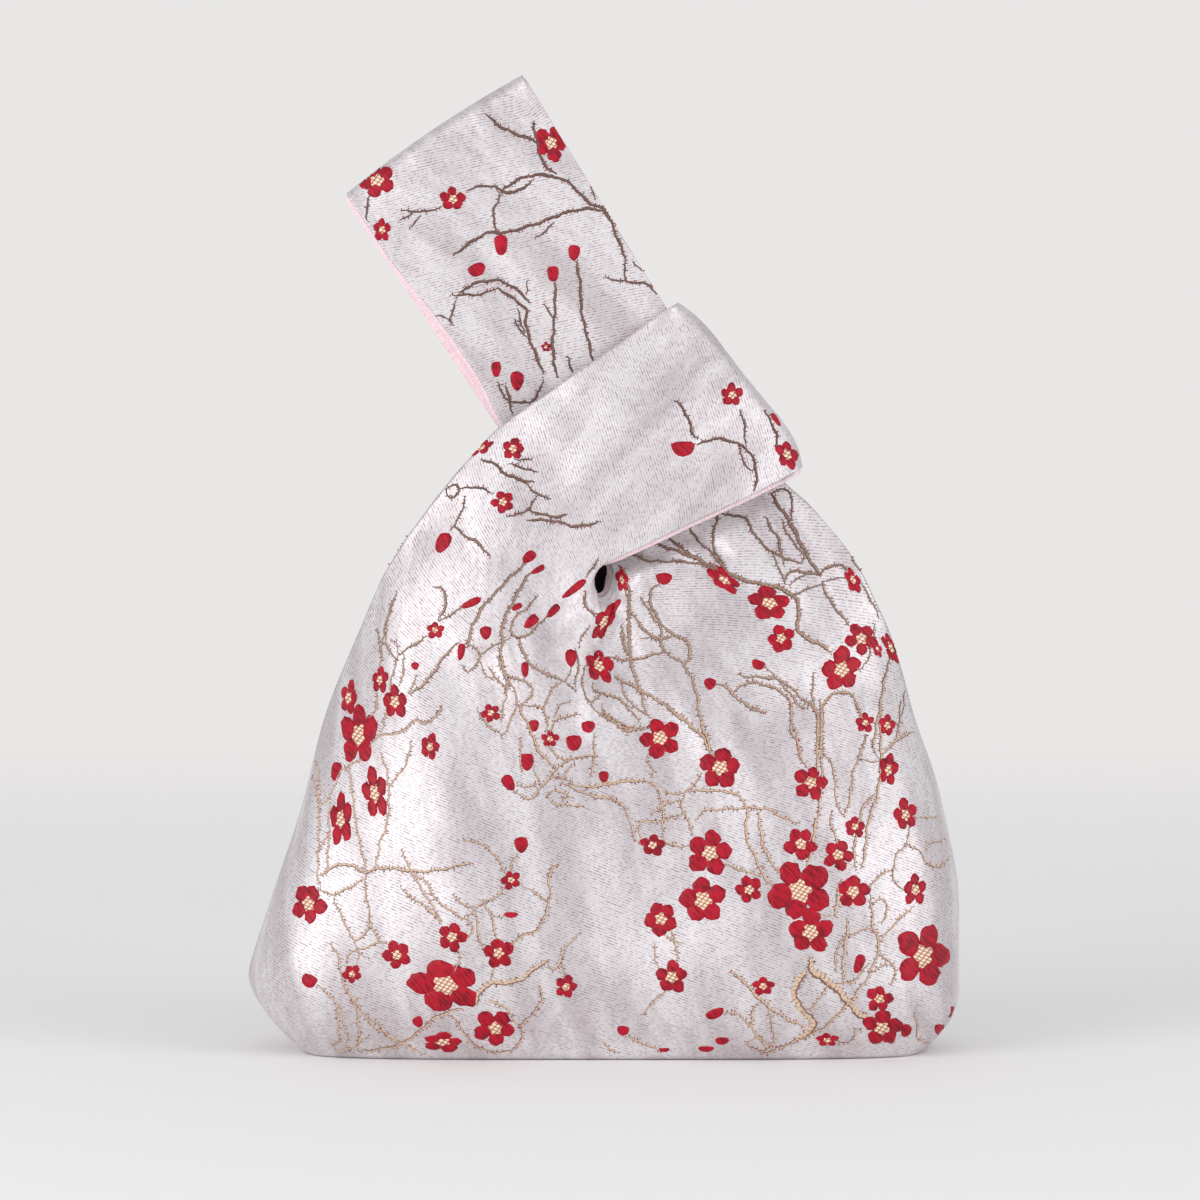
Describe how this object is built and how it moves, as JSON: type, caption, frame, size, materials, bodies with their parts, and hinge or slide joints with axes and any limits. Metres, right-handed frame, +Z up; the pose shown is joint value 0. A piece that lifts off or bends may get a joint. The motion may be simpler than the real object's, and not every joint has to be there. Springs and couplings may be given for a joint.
{
  "type": "knot bag",
  "caption": "Small lined cloth knot bag, its long strap pulled through the short one and standing up as the carrying loop.",
  "frame": {"origin": "bottom centre of the bag's bounding box, on the surface the base rests on", "axes": "+Z up, the front with the visible short strap faces -Y, the loop leans towards -X"},
  "size_m": [0.2402, 0.0882, 0.3276],
  "materials": {
    "brocade_front": "satin woven brocade",
    "brocade_back": "satin woven brocade",
    "lining_front": "plain weave",
    "lining_back": "plain weave"
  },
  "bodies": {
    "root": {"outer_front_panel": "brocade_front", "outer_back_panel": "brocade_back", "lining_front_panel": "lining_front", "lining_back_panel": "lining_back"}
  },
  "joints": []
}
